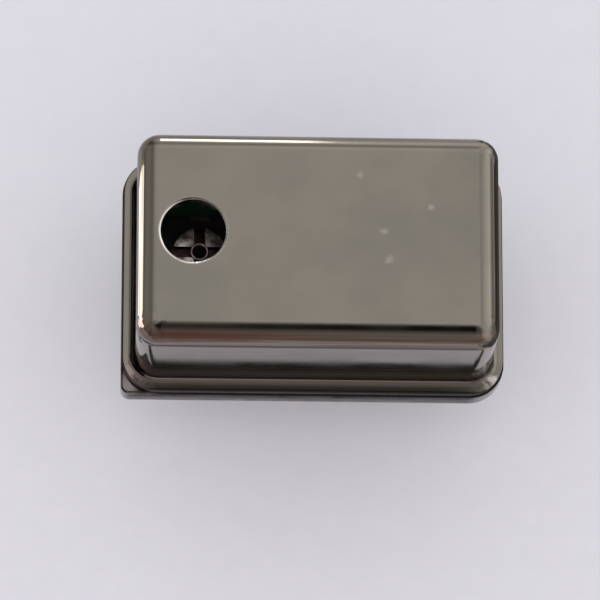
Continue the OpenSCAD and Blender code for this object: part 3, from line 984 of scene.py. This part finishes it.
@dataclass
class Header(Assembly):
    """The base plate with its glass seals, braze and leads."""

    top_z: float = 1.7 * MM
    corner_x: float = -10.3 * MM
    corner_y: float = -6.5 * MM
    leads: tuple[int, ...] = (1, 7, 8, 14)
    sealed: tuple[int, ...] = (1, 8, 14)

    def wear(self) -> dict[str, Finish]:
        """Chooses finishes for the base and its leads.

        Returns:
            The finish of each node.
        """
        plate = SeamedPlate("base_plate", srgb(136, 131, 128), srgb(122, 114, 116),
                            painted_shade=srgb(34, 28, 26), seam_z=self.top_z,
                            corner=Vector((self.corner_x, self.corner_y, self.top_z)))
        glass = Finish("seal_glass", srgb(60, 84, 72), srgb(48, 66, 58), roughness=0.12,
                       smoother=0.04, rougher=0.04, transmission=0.35)
        braze = Finish("braze", srgb(196, 190, 176), srgb(170, 160, 140), metallic=1.0,
                       roughness=0.32)
        wire = Finish("tinned_wire", srgb(196, 196, 194), srgb(176, 175, 172), metallic=1.0,
                      roughness=0.26, smoother=0.08, rougher=0.08, grain=0.08 * MM)
        wear: dict[str, Finish] = {"base_header": plate, "ground_braze": braze}
        wear |= {f"glass_seal_{number}": glass for number in self.sealed}
        return wear | {f"lead_pin_{number}": wire for number in self.leads}


@dataclass
class Trimmer(Assembly):
    """The trimmer capacitor below the hole."""

    grease_and_shade: Colour = srgb(44, 26, 28)

    def smears_and_shadow(self) -> tuple[Spot, ...]:
        """Lists the dark smears on the driver's face: grease, and the painted shadow of the hole's
        rim.

        Returns:
            The smears.
        """
        low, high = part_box("trimmer_driver")
        x, y = (low.x + high.x) / 2, (low.y + high.y) / 2
        # Grease smears; the back-left one paints the shadow that the hole's rim casts.
        rows = ((-1.0, 1.1, 0.75, 0.9), (1.0, 0.35, 0.6, 0.6), (0.9, 1.25, 0.5, 0.85),
                (-0.9, -0.6, 0.6, 0.6), (0.7, -0.8, 0.7, 0.6))
        return tuple(Spot(Vector((x + east * MM, y + north * MM, high.z)), size * MM, depth,
                          self.grease_and_shade) for east, north, size, depth in rows)

    def wear(self) -> dict[str, Finish]:
        """Chooses finishes for the trimmer.

        Returns:
            The finish of each node.
        """
        stator = Finish("stator_ceramic", srgb(40, 34, 32), srgb(30, 27, 27), roughness=0.5)
        rotor = Finish("rotor_ceramic", srgb(92, 66, 46), srgb(76, 54, 40), roughness=0.42)
        driver = SlottedPlate("driver_plate", srgb(178, 170, 164), srgb(96, 84, 82),
                              grease_and_shade=self.grease_and_shade, face_z=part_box("trimmer_driver")[1].z,
                              stains_and_painted_light=self.smears_and_shadow())
        eyelet = Finish("eyelet_metal", srgb(206, 190, 194), srgb(160, 142, 144),
                        metallic=1.0, roughness=0.36, patch=0.3 * MM)
        strap = Finish("strap_metal", srgb(200, 200, 198), srgb(180, 178, 174),
                       metallic=1.0, roughness=0.35)
        return {"trimmer_stator": stator, "trimmer_rotor": rotor, "trimmer_driver": driver,
                "trimmer_eyelet": eyelet, "trimmer_terminal_front": strap,
                "trimmer_terminal_back": strap}


@dataclass
class BoardParts(Assembly):
    """The circuit board with its solder, crystal unit and chips."""

    pins: tuple[int, ...] = (1, 7, 8, 14)

    def wear(self) -> dict[str, Finish]:
        """Chooses finishes for the board and what it carries.

        Returns:
            The finish of each node.
        """
        return self.crystal_wear() | self.circuit_wear()

    def crystal_wear(self) -> dict[str, Finish]:
        """Chooses finishes for the crystal unit.

        Returns:
            The finish of each node.
        """
        shell = Finish("crystal_shell", srgb(190, 191, 194), srgb(178, 178, 180),
                       metallic=1.0, roughness=0.3)
        bead = Finish("crystal_bead", srgb(84, 104, 128), srgb(70, 88, 110), roughness=0.15,
                      transmission=0.3)
        glue = Finish("glue", srgb(222, 212, 176), srgb(210, 198, 160), roughness=0.5)
        quartz = Finish("quartz", srgb(232, 238, 240), srgb(220, 228, 232), roughness=0.2,
                        transmission=0.5)
        bond = Finish("silver_bond", srgb(170, 170, 172), srgb(150, 150, 154), metallic=0.6,
                      roughness=0.5)
        wear: dict[str, Finish] = {"crystal_can": shell, "crystal_ring": shell,
                                   "crystal_glass": bead, "crystal_glue": glue,
                                   "quartz_blank": quartz}
        return wear | {f"blank_bond_{side}": bond for side in ("front", "back")}

    def circuit_wear(self) -> dict[str, Finish]:
        """Chooses finishes for the board, its solder and its chips.

        Returns:
            The finish of each node.
        """
        board = Finish("board_resist", srgb(44, 92, 62), srgb(36, 80, 54), roughness=0.35)
        solder = Finish("solder", srgb(200, 201, 203), srgb(178, 179, 182), metallic=1.0,
                        roughness=0.24)
        mould = Finish("chip_mould", srgb(34, 34, 37), srgb(26, 26, 29), roughness=0.55)
        capacitor = Finish("capacitor_ceramic", srgb(196, 160, 112), srgb(182, 146, 100),
                           roughness=0.45)
        resistor = Finish("resistor_glaze", srgb(40, 43, 50), srgb(30, 33, 40), roughness=0.3)
        tin = Finish("tin", srgb(206, 207, 208), srgb(188, 188, 190), metallic=1.0,
                     roughness=0.32)
        wear = {"circuit_board": board, "oscillator_chip": mould, "oscillator_chip_leads": tin,
                "chip_end_caps": tin, "bypass_capacitor": capacitor,
                "load_capacitor_in": capacitor, "load_capacitor_out": capacitor,
                "feedback_resistor": resistor, "drive_resistor": resistor,
                "output_resistor": resistor}
        wear |= {f"pin_solder_{number}": solder for number in self.pins}
        for side in ("front", "back"):
            wear |= {f"crystal_lead_{side}": tin, f"crystal_solder_{side}": solder}
        return wear


# ------------------------------------------------------------------------------ studio


@dataclass(frozen=True)
class Lamp:
    """A soft rectangular lamp: where it hangs, what it faces, its size and its level."""

    name: str
    place: Vector
    aim: Vector
    width: float
    height: float
    level: float

    def hang(self) -> str:
        """Hangs the lamp, unseen by the camera, at a level where 1 looks white.

        Returns:
            The lamp's name.
        """
        lamp = bpy.data.lights.new(self.name, "AREA")
        lamp.shape = "RECTANGLE"
        lamp.size, lamp.size_y = self.width, self.height
        lamp.energy = self.level * math.pi * self.width * self.height
        holder = bpy.data.objects.new(self.name, lamp)
        turn = (self.aim - self.place).to_track_quat("-Z", "Y").to_matrix().to_4x4()
        holder.matrix_world = Matrix.Translation(self.place) @ turn
        holder.visible_camera = False
        holder.visible_diffuse = False
        bpy.context.scene.collection.objects.link(holder)
        return self.name


@dataclass(frozen=True)
class Card:
    """A thin matt card beside the part, which shows only in glossy metal, as painted shade in its
    reflections.
    """

    name: str
    low: Vector
    high: Vector
    shade: Colour
    roughness: float = 0.9

    def lay(self) -> str:
        """Lays or stands the card between its two corners.

        Returns:
            The card's name.
        """
        mesh = bpy.data.meshes.new(self.name)
        sheet = bmesh.new()
        bmesh.ops.create_cube(sheet, size=1.0)
        bmesh.ops.scale(sheet, verts=sheet.verts, vec=self.high - self.low)
        bmesh.ops.translate(sheet, verts=sheet.verts, vec=(self.low + self.high) / 2)
        sheet.to_mesh(mesh)
        sheet.free()
        card = bpy.data.objects.new(self.name, mesh)
        bpy.context.scene.collection.objects.link(card)
        material, _, shader = new_material(self.name)
        shader.inputs["Base Color"].default_value = self.shade
        shader.inputs["Roughness"].default_value = self.roughness
        mesh.materials.append(material)
        card.visible_camera = False
        card.visible_diffuse = False
        card.visible_shadow = False
        card.visible_transmission = False
        card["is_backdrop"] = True
        return self.name


@dataclass
class Studio:
    """Floor, camera and light round the part."""

    tilt: float = math.radians(17.0)
    swing: float = math.radians(8.28)
    roll: float = math.radians(8.67)
    distance: float = 283.1 * MM
    lens: float = 314.8
    clip: tuple[float, float] = (1 * MM, 20.0)
    target: Vector = field(default_factory=lambda: Vector((0, 0, 4.7 * MM)))
    aim_right: float = 0.806 * MM
    aim_up: float = 1.993 * MM
    floor_size: float = 4.0
    floor_parts: int = 8
    fibre_scale: float = 900.0
    floor_glow: float = 0.05
    floor_rough: tuple[float, float] = (0.85, 0.95)
    paper: tuple[Colour, Colour] = (srgb(222, 223, 234), srgb(228, 229, 239))
    sky: float = 0.95
    across: Stops = (
        (-1.0, 0.4), (-0.86, 0.52), (-0.5, 0.38), (-0.16, 0.95), (0.06, 1.0), (0.2, 0.75),
        (0.6, 1.15), (0.84, 1.4), (0.93, 0.5), (1.0, 0.35))
    along: Stops = (
        (-1.0, 0.5), (-0.9, 0.5), (-0.6, 0.75), (-0.2, 0.85), (0.12, 1.0), (0.45, 1.0),
        (0.6, 1.15), (0.82, 0.55), (0.95, 1.2))
    dark: Stops = (
        (-1.0, 0.1), (-0.75, 0.35), (-0.6, 0.62), (-0.45, 0.85), (-0.3, 1.0), (0.02, 1.0),
        (0.1, 0.5), (0.18, 0.0), (1.0, 0.0))
    dark_middle: float = 0.04
    dark_half: float = 0.3
    dark_soft: float = 0.1
    dark_left: float = 0.82
    dark_turn: float = 0.03
    warm: Colour = (1.0, 0.85, 0.8, 1.0)
    neutral: Colour = (1.0, 0.985, 0.965, 1.0)
    warm_y: float = -0.75
    neutral_y: float = -0.35
    card_t: float = 0.1 * MM
    lamps: tuple[Lamp, ...] = (
        Lamp("rear_lamp", Vector((-2 * MM, 150 * MM, 34 * MM)), Vector((0, 0, 8 * MM)),
             16 * MM, 44 * MM, 6.0),
        Lamp("left_lamp", Vector((-26 * MM, 1.8 * MM, 3 * MM)), Vector((0, 1.8 * MM, 3 * MM)),
             15 * MM, 15 * MM, 4.5))

    def place_camera(self) -> str:
        """Aims a long lens from above and a little from the front left.

        Returns:
            The camera's name.
        """
        away = Vector((-math.sin(self.tilt) * math.sin(self.swing),
                       -math.sin(self.tilt) * math.cos(self.swing), math.cos(self.tilt)))
        level = Vector((math.cos(self.swing), -math.sin(self.swing), 0.0))
        rise = away.cross(level)
        right = level * math.cos(self.roll) + rise * math.sin(self.roll)
        up = rise * math.cos(self.roll) - level * math.sin(self.roll)
        place = self.target + away * self.distance
        aim = self.target - right * self.aim_right - up * self.aim_up
        back = (place - aim).normalized()
        right = (right - back * right.dot(back)).normalized()
        up = back.cross(right)
        camera = bpy.data.cameras.new("camera")
        camera.lens = self.lens
        camera.clip_start, camera.clip_end = self.clip
        holder = bpy.data.objects.new("camera", camera)
        turn = Matrix((right, up, back)).transposed()
        holder.matrix_world = Matrix.Translation(place) @ turn.to_4x4()
        bpy.context.scene.collection.objects.link(holder)
        bpy.context.scene.camera = holder
        return holder.name

    def lay_floor(self, level: float) -> str:
        """Lays the pale floor at the lead tips.

        Args:
            level: The floor's height.

        Returns:
            The floor's name.
        """
        mesh = bpy.data.meshes.new("floor")
        sheet = bmesh.new()
        bmesh.ops.create_grid(sheet, x_segments=self.floor_parts, y_segments=self.floor_parts,
                              size=self.floor_size)
        bmesh.ops.translate(sheet, verts=sheet.verts, vec=(0, 0, level))
        sheet.to_mesh(mesh)
        sheet.free()
        floor = bpy.data.objects.new("floor", mesh)
        bpy.context.scene.collection.objects.link(floor)
        material, bench, shader = new_material("floor_paper")
        fibre = bench.noise(object_coordinates(bench), self.fibre_scale, 3.0, 0.6)
        paper = bench.blend(fibre, *self.paper)
        bench.feed(shader.inputs["Base Color"], paper)
        bench.feed(shader.inputs["Roughness"], bench.fade(fibre, 0.0, 1.0, *self.floor_rough))
        shader.inputs["Specular IOR Level"].default_value = 0.0
        path = bench.add("ShaderNodeLightPath").outputs
        seen = bench.math("MAXIMUM", path["Is Camera Ray"], path["Is Glossy Ray"])
        seen = bench.math("MAXIMUM", seen, path["Is Transmission Ray"])
        bench.feed(shader.inputs["Emission Color"], paper)
        bench.feed(shader.inputs["Emission Strength"],
                   bench.math("MULTIPLY", seen, self.floor_glow))
        mesh.materials.append(material)
        floor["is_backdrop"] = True
        return floor.name

    def light_sky(self) -> str:
        """Paints the world: even light, and a soft box with a dark front that metal mirrors.

        Returns:
            The world's name.
        """
        world = bpy.data.worlds.new("studio")
        world.use_nodes = True
        world.node_tree.nodes.clear()
        bpy.context.scene.world = world
        bench = Bench(world.node_tree)
        way = bench.split(bench.add("ShaderNodeTexCoord").outputs["Generated"])
        box = bench.math("MULTIPLY", bench.profile(way["X"], self.across),
                         bench.profile(way["Y"], self.along))
        aside = bench.math("ABSOLUTE", bench.math("SUBTRACT", way["X"], self.dark_middle))
        middle = bench.fade(aside, self.dark_half + self.dark_soft,
                            self.dark_half - self.dark_soft)
        middle = bench.math("MULTIPLY", middle, bench.fade(way["X"], 0.0, self.dark_turn,
                                                           self.dark_left, 1.0))
        shade = bench.math("MULTIPLY", bench.profile(way["Y"], self.dark), middle)
        box = bench.math("MULTIPLY", box, bench.math("SUBTRACT", 1.0, shade))
        surface = bench.add("ShaderNodeBackground")
        front = bench.fade(way["Y"], self.warm_y, self.neutral_y)
        bench.feed(surface.inputs["Color"], bench.blend(front, self.warm, self.neutral))
        path = bench.add("ShaderNodeLightPath").outputs
        level = bench.add("ShaderNodeMix", data_type="FLOAT")
        bench.feed(level.inputs["Factor"], path["Is Glossy Ray"])
        bench.feed(level.inputs["A"], self.sky)
        bench.feed(level.inputs["B"], bench.math("MULTIPLY", box, self.sky))
        bench.feed(surface.inputs["Strength"], level.outputs["Result"])
        bench.feed(bench.add("ShaderNodeOutputWorld").inputs["Surface"],
                   surface.outputs["Background"])
        return world.name

    def cards(self, floor_level: float) -> tuple[Card, ...]:
        """Lists the cards, which paint shade in the metal's reflections: one stands near the left
        bend, two lie just above the floor.

        Args:
            floor_level: The floor's height.

        Returns:
            The cards.
        """
        low, high = floor_level + self.card_t, floor_level + 2 * self.card_t
        return (
            # Dark cards that paint shade in the metal's reflections, near the left bend and on the
            # floor in front and to the right.
            Card("left_shade_card", Vector((-11.3 * MM, -9 * MM, 1.4 * MM)),
                 Vector((-11.2 * MM, 10 * MM, 3.4 * MM)), srgb(16, 15, 15)),
            Card("front_shadow_card", Vector((-14 * MM, -8.86 * MM, low)),
                 Vector((14 * MM, -8.25 * MM, high)), srgb(8, 7, 8)),
            Card("right_shadow_card", Vector((13 * MM, -50 * MM, low)),
                 Vector((100 * MM, 50 * MM, high)), srgb(96, 95, 98)))

    def build(self, floor_level: float) -> list[str]:
        """Sets up camera, floor, sky, lamps and cards.

        Args:
            floor_level: The floor's height.

        Returns:
            The name of each.
        """
        bpy.context.scene.view_settings.view_transform = "Standard"
        names = [self.place_camera(), self.lay_floor(floor_level), self.light_sky()]
        names += [lamp.hang() for lamp in self.lamps]
        return names + [card.lay() for card in self.cards(floor_level)]


def main() -> None:
    """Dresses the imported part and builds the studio."""
    logging.basicConfig(level=logging.INFO, format="%(message)s")
    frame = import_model()
    packed = [list(corner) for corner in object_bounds()]
    shop = EffectShop()
    for kind in (CanShell, Header, Trimmer, BoardParts):
        for piece in kind(frame, shop).build():
            LOG.info("%s: %s is dressed", kind.__name__, piece)
    for name in Studio().build(packed[0][2]):
        LOG.info("Studio: %s is in place", name)


if __name__ == "__main__":
    main()
